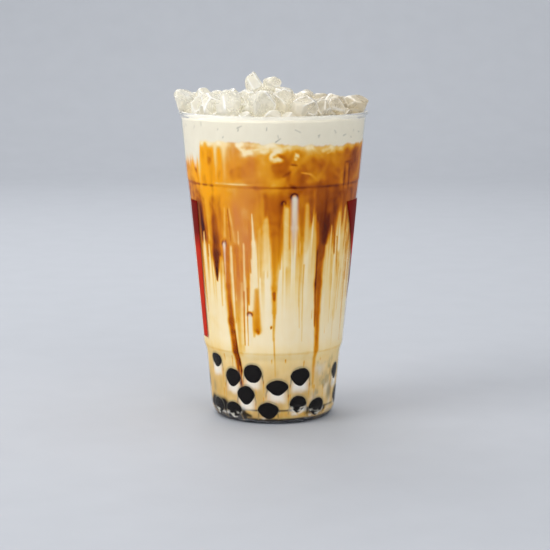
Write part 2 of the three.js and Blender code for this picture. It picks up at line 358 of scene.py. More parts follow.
def pearlMesh():
    bm = bmesh.new()
    pearlGlintLayer = bm.verts.layers.float.new("pearlGlint")
    size = pearls["radius"]
    for i, (angle, height, wide, tall) in enumerate(pearlSpots):
        a = math.radians(angle)
        turn = Matrix.Rotation(a, 3, "Z")
        out = float(outerRadius(height)) - cup["wall"] - size + pearls["press"]
        middle = Vector((*onCircle(out, a), height))
        hoof = pearls["hoof"] * (0.4 + 0.6 * scatter(i + 60))
        wet = height < pearls["pearlGlintBelow"] and math.cos(a) < pearls["pearlGlintAside"]
        pearlGlint = pearls["pearlGlint"] if wet else 0.0  # painted glints, white squiggles on the low pearls
        ball = bmesh.ops.create_icosphere(bm, subdivisions=pearls["fineness"], radius=size)["verts"]
        for v in ball:
            lump = 1 + pearls["lump"] * noise.noise(v.co * 0.25 + Vector((i * 9.1, 0, 0)))
            low = max(0, -v.co.z / size)
            glintNoise = noise.noise(Vector((v.co.x * 0.26, v.co.y * 0.26 + i * 3.3, v.co.z * 0.8)))
            v[pearlGlintLayer] = pearlGlint * ease(0.1, 0.4, low) * ease(0.0, 0.3, glintNoise)
            p = Vector((v.co.x * wide * (1 - hoof * low), v.co.y, v.co.z * tall)) * lump
            v.co = turn @ p + middle
            pressIn(v.co)
    joinInto(bm, spinProfile(pearls["core"], pearls["coreSteps"]))
    bmesh.ops.scale(bm, vec=(mm, mm, mm), verts=bm.verts)
    return bm


def tapioca():
    material, tree = startMaterial("tapioca")
    cloudy = objectNoise(tree, 260.0, detail=4.0)
    color = blendColor(tree, cloudy, linear(8, 7, 8), linear(24, 19, 19))
    # painted glints: white squiggles on the low pearls
    color = blendColor(tree, attributeValue(tree, "pearlGlint"), color, linear(228, 223, 208))
    rough = mapped(tree, cloudy, 0.0, 1.0, 0.3, 0.5)
    closeMaterial(tree, surface(tree, {
        "Base Color": color, "Roughness": rough, "IOR": 1.4, "Specular IOR Level": 0.12}))
    return material


addPiece("pearlHeap", pearlMesh(), tapioca(), ["pearls"])

# Drink
drink = {
    "level": 152.2, "meniscus": 1.3, "meniscusReach": 0.8, "lipInside": 45.2,
    "capBottom": 140.0, "capWave": 1.3, "teaBottom": 113.0, "teaLift": 4.0,
    "blendFrom": 28.0, "blendTo": 41.0, "embed": 0.1, "steps": 480, "crowd": 0.45, "leastRadius": 28,
    "milkRows": 176, "teaRows": 84, "capRows": 36, "rowBias": 1.15,
    "inward": [0, 0.3, 0.6, 0.74, 0.86, 0.94, 0.98],
    "dip": {"angle": -74, "width": 13, "depth": 9},
    "capEdge": {"height": 140.6, "ragged": 1.8, "fine": 0.5, "dip": 7.0},
    "thinLines": 24, "seededStreaks": 58, "flecks": 70, "dashes": 44,
    # painted shade: a line along the heel, then a dark band at the bottom edge
    "heelShade": 7.4, "heelShadeWidth": 0.42, "footTop": 3.8, "footDark": 2.3,
}
drips = {"count": 12, "shortest": 5, "longest": 30, "width": 6.5}
dripAngles = []
for i in range(drips["count"]):
    turn = 360 / drips["count"] * (i + 0.5 + spread(i, 0.3)) - 180
    length = drips["shortest"] + (drips["longest"] - drips["shortest"]) * scatter(i + 40)
    dripAngles.append((turn, length))


def away(angle, middle):
    return (angle - middle + 180) % 360 - 180


def softBump(angle, middle, width):
    return np.exp(-(away(angle, middle) / width) ** 2)


def capUnderside(angle):
    wave = np.sin(np.radians(3 * angle + 40)) + np.sin(np.radians(5 * angle))
    dip = drink["dip"]
    return drink["capWave"] * wave - dip["depth"] * softBump(angle, dip["angle"], dip["width"])


def teaUnderside(angle):
    total = np.full_like(angle, drink["teaLift"])
    for middle, length in dripAngles:
        total -= length * softBump(angle, middle, drips["width"])
    return total


def grown(reach):
    return np.clip((reach - drink["blendFrom"]) / (drink["blendTo"] - drink["blendFrom"]), 0, 1)


def capLine(angle, reach):
    return drink["capBottom"] + grown(reach) * capUnderside(angle)


def teaLine(angle, reach):
    return drink["teaBottom"] + grown(reach) * teaUnderside(angle)


def levelLine(angle, reach):
    climb = np.exp((reach - drink["lipInside"]) / drink["meniscusReach"])
    return drink["level"] + drink["meniscus"] * climb + 0 * angle


def floorLine(angle, reach):
    return floorHeight(reach) - drink["embed"] + 0 * angle


def wallReach(z):
    reach = innerRadius(z) + drink["embed"]
    return np.where(z > lipFoot - 0.4, np.minimum(reach, drink["lipInside"]), reach)


# Colour on the wall. Tone runs from 0, milk, through amber to 1, the darkest syrup.
# The tea layer: angle, tone above the shoulder and below it, how low it reaches,
# share of milk stirred in
teaShape = [
    (-95, 0.44, 0.54, 90, 0.15), (-75, 0.45, 0.68, 96, 0), (-62, 0.43, 0.64, 97, 0),
    (-52, 0.45, 0.5, 90, 0), (-45, 0.45, 0.5, 86, 0.05), (-38, 0.42, 0.54, 84, 0.15),
    (-32, 0.42, 0.48, 82, 0.35), (-27, 0.43, 0.47, 68, 0.7), (-23, 0.44, 0.47, 60, 0.75),
    (-17, 0.45, 0.47, 76, 0.66),
    (-11, 0.46, 0.5, 94, 0.4), (-5, 0.49, 0.55, 97, 0.15), (2, 0.57, 0.61, 88, 0),
    (8, 0.6, 0.63, 98, 0), (16, 0.59, 0.63, 100, 0), (24, 0.55, 0.64, 102, 0.1),
    (32, 0.55, 0.69, 100, 0.1), (40, 0.56, 0.73, 98, 0.05), (50, 0.59, 0.71, 101, 0.05),
    (60, 0.58, 0.67, 98, 0.05), (75, 0.58, 0.62, 92, 0.1), (100, 0.52, 0.54, 88, 0.3),
    (125, 0.46, 0.48, 76, 0.5), (150, 0.5, 0.53, 92, 0.2), (172, 0.57, 0.63, 96, 0),
    (195, 0.58, 0.65, 90, 0), (215, 0.5, 0.54, 80, 0.3), (240, 0.46, 0.47, 70, 0.5),
    (256, 0.47, 0.53, 88, 0.2),
]
teaAround, teaUpper, teaLower, teaReach, teaStirred = zip(*teaShape)
# Streaks on the front: angle and height where one starts, and where it ends,
# half width in mm at both ends, tone at both ends. The soft ones lie in the tea layer.
softStreaks = [
    (-56, 141, -55.5, 118, 1.8, 0.9, 0.06, 0.34), (-39, 142, -39.5, 120, 1.5, 0.9, 0.1, 0.4),
    (-32.5, 142, -33, 120, 2.6, 1.3, 0.08, 0.4), (-26, 141, -26.5, 130, 1.6, 1, 0.24, 0.42),
    (-64, 133, -64, 121, 2, 1, 0.28, 0.42), (-48, 140, -49, 126, 1.2, 0.8, 0.34, 0.44),
    (-3, 136, -2.5, 120, 1.6, 1.2, 0.42, 0.47), (-22, 128.5, -20, 126.5, 1.6, 1.4, 0.56, 0.56),
    (-44, 128, -44, 113, 1.8, 1.4, 0.54, 0.54), (10, 128, 7, 117, 1.5, 1.1, 0.62, 0.63),
    (26, 133, 34, 131, 1.8, 1.6, 0.62, 0.62), (40, 128, 47, 125, 2, 1.6, 0.64, 0.64),
]
streaks = [
    # a long bubble at the right under a dark arc
    (52.6, 130, 53.4, 118, 0.5, 0.45, 0.84, 0.84), (58.2, 130, 60, 117, 0.5, 0.45, 0.86, 0.84),
    (53, 131, 58, 131, 0.6, 0.6, 0.84, 0.86), (55.6, 128.5, 56.6, 119, 1, 1, 0.54, 0.58),
    # darker patches and a pale squiggle in it
    (6.5, 125.6, 10.5, 127.6, 0.8, 0.6, 0.72, 0.72),
    (11.5, 131.2, 15, 130.8, 0.5, 0.4, 0.74, 0.72), (30, 131, 32, 130, 0.5, 0.5, 0.7, 0.7),
    (18.5, 127.2, 24, 126.4, 0.35, 0.45, 0.36, 0.3), (24, 126.4, 30.5, 122.8, 0.45, 0.3, 0.3, 0.4),
    # left side
    (-59.5, 112, -59, 94, 3.6, 3.6, 0.66, 0.84), (-60.5, 109, -59.5, 97, 2, 3.4, 0.84, 0.97),
    (-59.5, 98, -59, 91.5, 3.3, 0.8, 0.97, 0.99), (-55, 112, -54.5, 84, 1.6, 0.4, 0.58, 0.62),
    (-51, 116, -52, 92, 1.6, 0.7, 0.42, 0.34), (-49, 101, -48, 86, 1.7, 0.6, 0.44, 0.42),
    (-58, 96, -61.5, 56, 0.4, 2.6, 0.08, 0.05), (-53, 90, -53.5, 56, 0.3, 2.4, 0.1, 0.05),
    (-44.5, 112, -45, 86, 3, 3.8, 0.6, 0.64), (-45, 88, -46, 75, 3.8, 1, 0.64, 0.62),
    (-44.6, 104, -45.3, 85, 1.8, 2.7, 0.72, 0.88), (-45.3, 86, -46.2, 72.5, 2.7, 0.5, 0.88, 0.97),
    (-39.5, 108, -39, 86, 1.4, 0.9, 0.6, 0.5), (-35.3, 109, -36, 95, 0.8, 0.7, 0.34, 0.32),
    (-32.4, 109, -31, 93, 0.35, 0.3, 0.74, 0.66), (-31, 109, -28, 93, 0.6, 0.9, 0.24, 0.3),
    (-38.3, 93, -38.6, 76, 0.25, 0.2, 0.76, 0.6),
    (-35.7, 93, -36, 78, 0.25, 0.2, 0.74, 0.6), (-34, 90, -35, 70, 1.4, 1.6, 0.58, 0.56),
    (-41, 84, -42, 60, 1, 0.5, 0.4, 0.22), (-31.4, 90, -31.6, 58, 0.9, 1.6, 0.14, 0.06),
    (-29.4, 92, -29.6, 52, 0.4, 0.3, 0.48, 0.36), (-27.6, 86, -27.8, 60, 0.6, 0.9, 0.16, 0.08),
    (-16, 84, -16, 60, 0.8, 1.2, 0.1, 0.06), (-25, 98, -25, 66, 0.5, 0.9, 0.2, 0.1),
    (-21, 92, -21.5, 58, 0.7, 1, 0.16, 0.08), (-26.4, 90, -25.6, 56, 1.6, 1, 0.6, 0.54),
    (-18.6, 88, -18.8, 62, 0.8, 0.5, 0.58, 0.5),
    # the long drip at the left, with its dark right edge
    (-35.2, 76, -34.4, 52, 1.6, 1.9, 0.56, 0.68), (-34.4, 53, -32.2, 37, 2, 1.6, 0.72, 0.77),
    (-32.2, 38, -29.9, 26, 1.6, 1.3, 0.77, 0.84), (-29.9, 27, -27.6, 11, 1, 0.6, 0.94, 0.9),
    (-31.5, 48, -29.6, 36, 0.4, 0.45, 0.88, 0.92), (-29.6, 36, -28, 27, 0.45, 0.5, 0.94, 0.95),
    # left of the middle, and one dark patch at the far left
    (-27.6, 62, -26.8, 36, 1.5, 1.2, 0.46, 0.22), (-24, 60, -24, 38, 1, 0.8, 0.4, 0.2),
    (-68, 121, -68, 106, 3.2, 3, 0.6, 0.74), (-15.6, 58, -15.4, 46, 0.8, 0.9, 0.34, 0.3),
    (-27, 74, -26.8, 45, 1.4, 0.7, 0.42, 0.3), (-23.6, 72, -24.4, 42, 1.3, 1, 0.22, 0.14),
    (-22.2, 68, -22.8, 41, 0.35, 0.3, 0.62, 0.48), (-19.6, 70, -20.4, 41, 0.35, 0.25, 0.58, 0.42),
    (-18, 56, -18.4, 37, 0.9, 1.1, 0.06, 0.06), (-20, 108, -20, 104, 1.8, 1.5, 0.32, 0.36),
    (-14.5, 107, -14.1, 92, 0.4, 1, 0.12, 0.05), (-14.1, 93, -13.6, 62, 1, 1.4, 0.05, 0.04),
    (-16.8, 104, -16.6, 78, 0.5, 0.4, 0.52, 0.44), (-12.5, 69, -12.5, 49, 1.2, 2.2, 0.36, 0.56),
    (-12.9, 48.8, -11.5, 47.6, 0.9, 0.8, 0.7, 0.68), (-5, 104, -5.6, 80, 1.6, 1.8, 0.26, 0.12),
    (-4.2, 74, -4.2, 52, 1.4, 1.3, 0, 0), (-9.6, 100, -9.4, 76, 0.9, 0.6, 0.4, 0.24),
    # middle
    (0.6, 114, 0.6, 97, 3, 2.2, 0.64, 0.6), (0.6, 97, 0.5, 70, 2.1, 1.5, 0.58, 0.44),
    (0.5, 71, 0.5, 58, 1.4, 1.2, 0.46, 0.4), (0.4, 67.5, 0.6, 64.5, 0.9, 0.7, 0.74, 0.7),
    (0.6, 60, 0.6, 44, 0.9, 0.6, 0.4, 0.3), (-1.5, 50.8, -1.5, 50, 0.5, 0.4, 0.78, 0.74),
    (0.9, 45, 1.4, 25, 0.45, 0.3, 0.34, 0.28), (5, 102, 5, 80, 0.5, 0.35, 0.56, 0.44),
    (8.6, 109, 9, 82, 1.8, 1.5, 0.26, 0.12), (7.1, 111.6, 7.2, 106, 0.5, 0.4, 0.34, 0.34),
    (11.4, 112, 11.6, 90, 0.6, 0.5, 0.6, 0.4),
    # right of the middle
    (19, 116, 20.4, 94, 1.7, 1.1, 0.6, 0.56), (20.4, 95, 20.5, 76, 0.9, 0.4, 0.46, 0.24),
    (23.6, 111, 23.6, 90, 1.3, 1.4, 0.36, 0.16), (26.7, 113, 27, 102.5, 1.7, 0.4, 0.74, 0.72),
    (30, 106, 30, 60, 0.8, 1.7, 0.3, 0.05), (16.9, 108, 17, 84, 0.5, 0.5, 0.46, 0.3),
    # the dark mass and the long drip at the right, with its dark left edge
    (38, 118, 38.5, 100, 6, 4.8, 0.73, 0.84), (38.5, 101, 36.2, 87, 4.6, 2.7, 0.84, 0.82),
    (40, 105, 37.6, 90, 2.2, 1.2, 0.94, 0.98), (36, 89, 35.4, 71, 2.8, 2.2, 0.74, 0.67),
    (35.4, 72, 36, 57, 2.2, 1.7, 0.66, 0.61), (36, 58, 36.8, 38, 1.7, 1.4, 0.61, 0.54),
    (36.8, 39, 37.6, 18, 1.2, 0.6, 0.5, 0.32), (32.8, 88, 32.7, 71, 0.45, 0.45, 0.9, 0.88),
    (32.7, 72, 33.8, 50, 0.4, 0.35, 0.86, 0.72), (46.5, 118, 47, 102, 2.4, 1.6, 0.78, 0.8),
    (47.5, 104, 49.5, 86, 1.1, 0.5, 0.72, 0.62), (45, 100, 44.4, 50, 0.3, 2.3, 0.2, 0.05),
    (40.8, 90, 41, 66, 0.9, 1, 0.24, 0.08), (52.5, 106, 52.5, 58, 0.5, 1.3, 0.32, 0.08),
    (55.8, 115, 56.2, 100, 1.2, 0.4, 0.76, 0.72), (59, 108, 60.5, 78, 0.8, 1.4, 0.26, 0.1),
    (51.5, 94, 54.5, 74, 0.4, 0.3, 0.62, 0.48), (64.5, 95, 69, 71, 0.5, 0.4, 0.64, 0.52),
    (66.5, 75, 68.5, 40, 0.5, 0.4, 0.54, 0.36), (73, 100, 76, 62, 1.3, 0.6, 0.6, 0.48),
]
# Milk lumps in the tea layer: angle, height, half width, half height, strength
curds = [
    (-15, 137.6, 3.8, 2.3, 1), (-19.5, 138.8, 2.8, 1, 0.7), (-6.5, 137.4, 2.4, 1.1, 0.8),
    (-9.5, 139, 2, 0.8, 0.7), (0.2, 136, 1.6, 2.6, 0.9), (2.8, 137.8, 2.8, 1.3, 1),
    (3.6, 133.8, 2.2, 1.3, 0.9), (15.2, 135.8, 2, 1.3, 0.9), (14, 133.8, 1.2, 0.8, 0.7),
    (35, 138, 2.2, 0.7, 0.5), (38, 136.8, 1, 0.6, 0.4),
]
# Bubbles under a dark arc: angle, height, radius. Then the pale trails they leave, drawn as the streaks are
bubbles = [(14.0, 115.4, 1.6), (-37.0, 91.2, 1.2), (-18.2, 56.6, 1.1), (7.0, 112.2, 0.8)]
trails = [
    (14.4, 114.2, 14.6, 100, 1.5, 1.6, 0.95, 0.7), (14.6, 100, 14.8, 74, 1.6, 1.2, 0.7, 0),
    (-37, 91, -37.1, 88.6, 0.9, 0.7, 0.95, 0.6), (-37.1, 88.6, -37.5, 72, 0.6, 0.4, 0.6, 0.1),
    (-18.3, 56, -18.5, 42, 0.9, 1, 0.8, 0.2),
]
# Dark syrup that lies in the heel, drawn as the streaks are. Then wet glints in it, drawn as the curds are
dregs = [
    (-70, 9.4, -52, 8.6, 2.6, 2.8, 0.98, 1), (-52, 8.6, -33, 5.6, 2.8, 2.2, 1, 0.98),
    (-33, 5.6, -22, 4.2, 1.8, 1, 0.94, 0.8), (-28, 8, -27, 3, 0.9, 0.7, 0.86, 0.8),
    (14, 7.6, 50, 8, 0.6, 0.7, 0.84, 0.88), (34, 6.4, 54, 6.4, 2, 1.6, 0.86, 0.9),
    (-12, 7.4, 6, 7.4, 0.6, 0.6, 0.9, 0.9), (128, 7.2, 160, 6.6, 2.2, 1.8, 0.96, 0.92),
    (216, 6.8, 240, 8.2, 1.8, 2.4, 0.94, 0.98), (-72, 6, -46, 5, 3, 2.6, 1, 1),
    (-46, 5, -30, 3.2, 2.4, 1.6, 1, 0.98), (-98, 5.4, -70, 7.6, 0.6, 3.4, 0.5, 0.98),
]
glints = [
    (-58, 6, 1.4, 1, 0.95), (-52, 4.6, 1.6, 0.7, 0.9), (-44, 5.4, 1.2, 0.9, 0.9),
    (-38, 3.6, 1.6, 0.7, 0.9), (-34, 5.2, 0.8, 0.8, 0.8), (-65, 7.6, 1, 0.8, 0.8),
    (20, 5.4, 2.2, 0.8, 0.85), (27, 6.4, 1.2, 0.6, 0.7), (45, 4.4, 1.8, 0.8, 0.9),
    (52, 6.6, 1.2, 1, 0.8), (38, 4.6, 1, 0.7, 0.7), (-8, 3.6, 1.6, 0.6, 0.5),
    (140, 4.4, 2, 1, 0.8), (150, 5.6, 1.2, 0.8, 0.8), (228, 4.6, 2, 1, 0.8),
    (236, 6.4, 1.2, 0.8, 0.8),
]
# Pale smears at the right of the base, drawn as the curds are
paleSmears = [
    (45, 27.5, 3, 3.2, 0.55), (55, 17, 2, 4, 0.4), (38, 13, 2, 2.4, 0.3), (62, 9, 1.6, 2.4, 0.4),
]
# Pearls that show dimly through the milk, drawn as the curds are
dimPearls = [
    (45, 27, 2.8, 3.4, 0.16), (53, 23, 1.6, 2.6, 0.24), (61, 14.5, 2.2, 4, 0.7), (-66, 16, 1.6, 3.6, 0.4),
]


def thinLines():
    lines = []
    for i in range(drink["thinLines"]):  # faint lines in the milk, mostly at the right
        angle = 8 + 58 * scatter(i + 2300) ** 0.5 + spread(i + 2400, 3)
        top = 102 - 22 * scatter(i + 2500)
        low = top - 14 - 34 * scatter(i + 2600)
        end = angle + spread(i + 2700, 1.5)
        lines.append((angle, top, end, low, 0.45, 0.25, 0.34, 0.1 + 0.18 * scatter(i + 2800)))
    return lines


def seededStreaks():
    more = []
    count = drink["seededStreaks"]
    for i in range(count):
        angle = 84 + 212 * (i + spread(i + 300, 0.95)) / (count - 1)
        kind = scatter(i + 320)
        end = angle + spread(i + 500, 2.5)
        top = 116 - 8 * scatter(i + 350)
        if kind < 0.42:  # milk that shows through
            low = 50 + 24 * scatter(i + 410)
            wide = 1.0 + 1.6 * scatter(i + 610)
            more.append((angle, top - 6, end, low, 0.4, wide, 0.22, 0.05))
        elif kind < 0.8:  # amber drip
            low = 102 - 58 * scatter(i + 430) ** 1.8
            wide = 0.4 + 2.6 * scatter(i + 620) ** 2
            more.append((angle, top, end, low, wide, 0.35, 0.6 + 0.12 * scatter(i + 720), 0.46))
        else:  # dark syrup
            low = 98 - 52 * scatter(i + 450)
            wide = 1.0 + 2.6 * scatter(i + 630)
            more.append((angle, top, end, low, wide, 0.5, 0.78 + 0.1 * scatter(i + 730), 0.72))
    return more


# Smooth noise on the wall, from the number of cells round the cup, the height of a cell in mm and a seed
def cloud(angle, z, cells, tall, seed):
    u = angle % 360 / 360 * cells
    v = z / tall
    column, row = np.floor(u), np.floor(v)
    du, dv = ease(0, 1, u - column), ease(0, 1, v - row)
    total = 0
    for i, across in ((0, 1 - du), (1, du)):
        for j, up in ((0, 1 - dv), (1, dv)):
            total = total + across * up * scatter((column + i) % cells + 91.7 * (row + j) + seed)
    return total


def clouds(angle, z, cells, tall, seed):
    total = 0
    for k, share in enumerate((0.57, 0.29, 0.14)):
        total = total + share * cloud(angle, z, cells * 2 ** k, tall / 2 ** k, seed + 17 * k)
    return total


def sideways(angle, middle, z):
    return np.radians(away(angle, middle)) * outerRadius(z)


def spot(angle, z, middle, height, halfWidth, halfHeight, power=2.0):
    side = sideways(angle, middle, height)
    return np.exp(-(np.abs(side / halfWidth) ** power + np.abs((z - height) / halfHeight) ** power))


def stamp(paint, spots, angle, z, power=2.0):
    for middle, height, wide, tall, strong in spots:
        paint = np.maximum(paint, strong * spot(angle, z, middle, height, wide, tall, power))
    return paint


def drawStreak(tone, angle, z, streak, power=3.0):
    a0, z0, a1, z1, w0, w1, tone0, tone1 = streak
    margin = 2 * max(w0, w1)
    turnMargin = math.degrees(margin / drink["leastRadius"])
    near = (z > min(z0, z1) - margin) & (z < max(z0, z1) + margin)
    near &= np.abs(away(angle, (a0 + a1) / 2)) < abs(a1 - a0) / 2 + turnMargin
    h = z[near]
    side = sideways(angle[near], a0, h)
    lean = math.radians(a1 - a0) * float(outerRadius((z0 + z1) / 2))
    t = np.clip((side * lean + (h - z0) * (z1 - z0)) / (lean ** 2 + (z1 - z0) ** 2), 0, 1)
    gap = np.hypot(side - lean * t, h - z0 - (z1 - z0) * t)
    hit = np.exp(-(gap / (w0 + (w1 - w0) * t)) ** power)
    drawn = tone.copy()
    drawn[near] += (tone0 + (tone1 - tone0) * t - tone[near]) * hit
    return drawn


def drawAll(tone, angle, z, rows, power=3.0):
    for row in rows:
        tone = drawStreak(tone, angle, z, row, power)
    return tone


def pearlSides():
    for middle, height, wide, tall in pearlSpots:
        for side in (-1, 1):
            line = middle + side * math.degrees(pearls["sideLine"] * wide / outerRadius(height))
            yield middle, height, side, line


def byAngle(angle, values):
    return np.interp(angle, teaAround, values, period=360)


def dipShare(angle):
    return ease(-52.5, -55.5, angle) * ease(-122, -108, angle)


def capEdge(angle):
    edge = drink["capEdge"]
    flat = clouds(angle, 0 * angle, 60, 1, 9) - 0.5
    fine = cloud(angle, 0 * angle, 200, 1, 15) - 0.5
    wave = np.sin(np.radians(2.2 * angle + 150)) + edge["ragged"] * flat + edge["fine"] * fine
    return edge["height"] + wave - (edge["dip"] - 5 * fine) * dipShare(angle)


def paintTeaLayer(angle, z):
    high = ease(114, 121, z)
    swirl = 18 * (clouds(angle, z, 20, 14, 5) - 0.5)
    marble = clouds(angle + swirl, z + 0.6 * swirl, 34, 8, 11) - 0.5
    stripe = clouds(angle, z, 150, 50, 23) - 0.5
    blotch = ease(0.58, 0.8, cloud(angle + swirl / 2, z + swirl / 4, 56, 6, 13))
    layer = toward(byAngle(angle, teaLower), byAngle(angle, teaUpper), high)
    layer = layer + (0.36 + 0.16 * high) * marble
    layer = layer + 0.16 * (1 - 0.8 * high) * stripe + 0.1 * high * blotch
    under = capEdge(angle) - z
    return layer - 0.36 * ridge(under, 0.8, 2.1) * (0.3 + 1.4 * clouds(angle, z, 50, 8, 3))


def paintBase(tone, angle, wavy, z):
    for middle, height, side, line in pearlSides():
        end = line + side
        low = height - 5 - 9 * scatter(middle + side)
        tone = drawStreak(tone, wavy, z, (end, height - 4, end, low, 0.4, 0.25, 0.56, 0.24))
    for i in range(drink["flecks"]):  # thin lines and flecks of syrup between the pearls
        middle = 360 * (i + spread(i + 1900, 0.5)) / drink["flecks"]
        height = 10 + 26 * scatter(i + 2000)
        long = 0.5 + 9 * scatter(i + 2100) ** 2
        tone = drawStreak(tone, wavy, z, (middle, height, middle, height - long, 0.3, 0.25, 0.5, 0.36))
    brown = 0.16 + 0.6 * (clouds(angle, z, 60, 5, 87) - 0.5)
    return toward(tone, brown, ease(7.8, 6.8, z))


def paintTone(angle, z):
    ragged = 13 * (cloud(angle, 0 * z, 100, 1, 31) - 0.5) + 10 * (cloud(angle, 0 * z, 280, 1, 37) - 0.5)
    low = byAngle(angle, teaReach) + ragged
    fibre = ease(0.46, 0.8, cloud(angle, z, 260, 40, 29))
    fibre = fibre + 0.6 * ease(0.5, 0.8, cloud(angle, z, 120, 55, 35))
    yellow = 0.07 * ease(-42, -52, angle) * ease(-125, -100, angle) + 0.1 * ease(44, 34, z)
    milk = 0.02 + yellow + ease(46, 100, z) * (0.02 + 0.28 * fibre)
    tone = toward(milk, paintTeaLayer(angle, z), ease(low - 11, low + 8, z))
    wavy = angle + 1.6 * (clouds(angle, z, 60, 22, 41) - 0.5)
    tone = drawAll(tone, wavy, z, softStreaks, 2.0)
    tone = drawAll(tone, wavy, z, thinLines() + streaks + seededStreaks())
    for middle, height, size in bubbles:
        gap = np.hypot(sideways(angle, middle, height), z - height)
        arc = ridge(gap, size, 0.5) * ease(height - 1.2 * size, height, z)
        tone = toward(tone, 0.97, arc)
        tone = toward(tone, 0.5, ease(size * 0.85, size * 0.45, gap))
    sway = clouds(angle, z, 60, 5, 71) - 0.5
    for middle, height, wide, tall, strong in curds:
        lump = spot(angle + 7 * sway, z + 3 * sway, middle, height, wide, tall, 3.0)
        tone = toward(tone, 0.04, strong * lump)
    # painted shade: dark lines along the two steps of the cup, where their edges bend the light, and a
    # painted highlight above the shoulder at the left
    ledge = 0.8 + 0.4 * cloud(angle, 0 * z, 50, 1, 45)
    shine = ease(-45, -38, angle) * ease(-4, -10, angle)
    tone = tone + 0.18 * ledge * ridge(z, cup["shoulderTop"] - 0.7, 0.6)
    tone = tone - 0.2 * shine * ridge(z, cup["shoulderTop"] + 0.7, 0.4)
    tone = tone + 0.08 * ridge(z, cup["stepTop"] - 0.4, 0.4)
    return np.clip(paintBase(tone, angle, wavy, z), 0, 1)


# Dark syrup in the heel and thin syrup lines beside the pearls, with painted shade: a dark line along the
# cup's heel and a dark band at the bottom edge
def paintSyrupAndShade(angle, z):
    wavy = angle + 2.5 * (clouds(angle, z, 60, 6, 41) - 0.5)
    # painted shade along the heel crease and at the bottom edge
    heelShade = ridge(z, drink["heelShade"], drink["heelShadeWidth"]) * (0.5 + 0.4 * cloud(angle, 0 * z, 60, 1, 77))
    foot = ease(drink["footTop"], drink["footDark"], z) * (0.78 + 0.3 * cloud(angle, 0 * z, 40, 1, 79))
    syrupAndShade = drawAll(np.maximum(heelShade, foot), wavy, z, dregs)
    for middle, height, side, line in pearlSides():  # a thin line down each side of a pearl
        strong = 0.4 + 0.5 * scatter(middle - side)
        thread = (line, height - 1, line + side, height - 5, 0.42, 0.32, strong, 0.3)
        syrupAndShade = drawStreak(syrupAndShade, wavy, z, thread)
    return np.clip(1.15 * syrupAndShade, 0, 1)


def paintStirred(angle, z):
    share = byAngle(angle, teaStirred) * ease(50, 70, z)
    return np.clip(share * (1.9 * clouds(angle, z, 40, 18, 61) - 0.1), 0, 1)


def paintGold(angle, z):
    share = np.interp(angle, [-112, -75, -60, -46, -32, -16], [0, 0.8, 1.0, 0.85, 0.6, 0], period=360)
    return np.clip(share * ease(98, 116, z) * (0.5 + 0.9 * clouds(angle, z, 40, 12, 97)), 0, 1)


def paintTan(angle, z):
    right = ease(28, 50, angle) * ease(105, 80, angle)
    tan = ease(40, 16, z) * (0.38 + 1.1 * clouds(angle, z, 50, 9, 83)) * (1 - 0.4 * right)
    smudge = 0.4 * spot(angle, z, 37, 145, 1.4, 3.0) + 0.3 * spot(angle, z, 50, 142.5, 3.0, 1.2)
    return np.clip(np.maximum(tan, smudge), 0, 1)


def paintPale(angle, z):
    edge = capEdge(angle)
    pale = ease(edge - 0.6 - 4.4 * dipShare(angle), edge + 0.7, z)
    sway = clouds(angle, z, 60, 5, 71) - 0.5
    for middle, height, wide, tall in pearlSpots:  # a pale crescent under each pearl
        patch = spot(angle + 3 * sway, z + 2 * sway, middle, height - 4.2, 4.2 * wide, 3.6, 4.0)
        pale = np.maximum(pale, (0.75 + 0.25 * scatter(middle)) * patch * ease(5.5, 7.5, z))
    pale = stamp(pale, paleSmears, angle + 9 * sway, z + 4 * sway)
    marks = drawAll(np.zeros_like(angle), angle, z, trails)
    marks = stamp(marks, glints, angle + 8 * sway, z + 3 * sway)
    return np.maximum(pale, marks)


def paintSpecks(angle, z):
    specks = np.zeros_like(angle)
    for i in range(drink["dashes"]):  # short dim dashes in the cap
        middle = 360 * (i + spread(i + 20, 0.8)) / drink["dashes"]
        height = 142.8 + 7.2 * scatter(i + 900)
        lean = spread(i + 950, 1.7)
        long = 0.4 + 1.6 * scatter(i + 970) ** 2
        dash = (middle - lean, height - long / 2, middle + lean, height + long / 2, 0.32, 0.28)
        specks = drawStreak(specks, angle, z, (*dash, 0.25 + 0.45 * scatter(i + 930), 0.4))
    right = ease(30, 42, angle) * ease(110, 80, angle) * ease(8, 12, z) * ease(35, 30, z)
    specks = np.maximum(specks, 0.45 * right * ease(0.52, 0.74, clouds(angle, z, 70, 5, 67)))
    specks = stamp(specks, dimPearls, angle, z, 3.0)
    for middle, height, wide, tall in pearlSpots:  # a dim edge round each pearl
        side = sideways(angle, middle, height)
        gap = np.hypot(side / (pearls["ring"] * wide), (z - height) / (pearls["ring"] * tall))
        ring = ridge(gap, 0.97, 0.11) * ease(height - 4, height + 1, z)
        specks = np.maximum(specks, 0.6 * ring)
    return specks


paints = {"tone": paintTone, "stirred": paintStirred, "gold": paintGold, "tan": paintTan,
          "syrupAndShade": paintSyrupAndShade, "pale": paintPale, "specks": paintSpecks}


